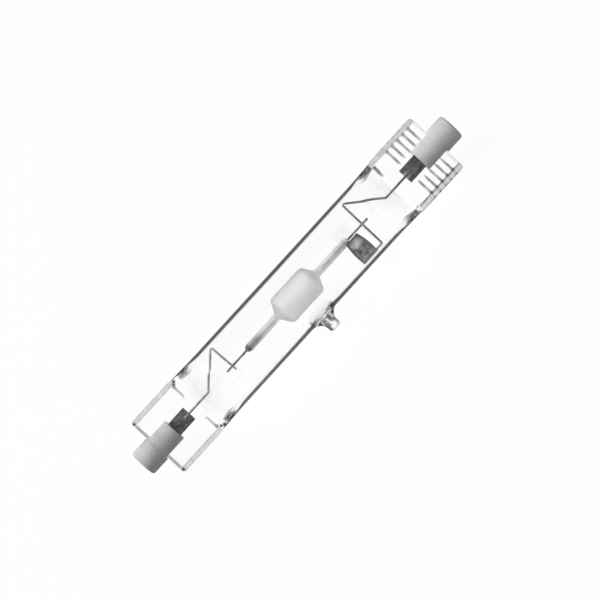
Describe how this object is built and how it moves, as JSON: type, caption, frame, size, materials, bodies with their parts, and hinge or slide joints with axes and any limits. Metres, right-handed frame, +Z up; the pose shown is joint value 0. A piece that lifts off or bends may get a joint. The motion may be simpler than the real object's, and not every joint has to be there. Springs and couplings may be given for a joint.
{
  "type": "metal halide bulb",
  "caption": "Clear double-ended lamp: a pinched glass tube with round ceramic caps, a ceramic arc tube on bent wires, sealing foils and a getter plate inside.",
  "frame": {"origin": "the light centre, on the lamp's axis midway between the two contacts", "axes": "+X along the lamp's axis towards the cap beside the getter, +Z up as the lamp lies on a flat surface on its tube and its exhaust tip, with the tip towards -Y"},
  "size_m": [0.1374, 0.0234, 0.021],
  "materials": {
    "fused_silica": "clear polished fused silica",
    "cap_ceramic": "matt fired steatite",
    "contact_metal": "nickel-plated contact",
    "cap_cement": "dry white lamp cement",
    "molybdenum": "drawn molybdenum",
    "sealing_foil": "etched molybdenum foil",
    "frame_wire": "drawn molybdenum wire",
    "niobium": "drawn niobium",
    "frit_glass": "fused sealing frit",
    "tungsten": "ground tungsten",
    "arc_ceramic": "translucent sintered alumina",
    "getter_steel": "plated steel strip",
    "getter_powder": "pressed getter powder",
    "halide_salt": "pale yellow salt",
    "mercury": "liquid metal"
  },
  "bodies": {
    "root": {"outer_bulb": "fused_silica", "arc_tube": "arc_ceramic", "cap_insulator_left": "cap_ceramic", "cap_insulator_right": "cap_ceramic", "cap_contact_left": "contact_metal", "cap_contact_right": "contact_metal", "cap_cement_left": "cap_cement", "cap_cement_right": "cap_cement", "outer_lead_left": "molybdenum", "outer_lead_right": "molybdenum", "sealing_foil_left": "sealing_foil", "sealing_foil_right": "sealing_foil", "frame_wire_left": "frame_wire", "frame_wire_right": "frame_wire", "niobium_lead_left": "niobium", "niobium_lead_right": "niobium", "frit_seal_left": "frit_glass", "frit_seal_right": "frit_glass", "lead_mandrel_left": "molybdenum", "lead_mandrel_right": "molybdenum", "mandrel_winding_left": "molybdenum", "mandrel_winding_right": "molybdenum", "electrode_rod_left": "tungsten", "electrode_rod_right": "tungsten", "electrode_coil_left": "tungsten", "electrode_coil_right": "tungsten", "getter_strip": "getter_steel", "getter_powder": "getter_powder", "halide_pellets": "halide_salt", "mercury_bead": "mercury"}
  },
  "joints": []
}
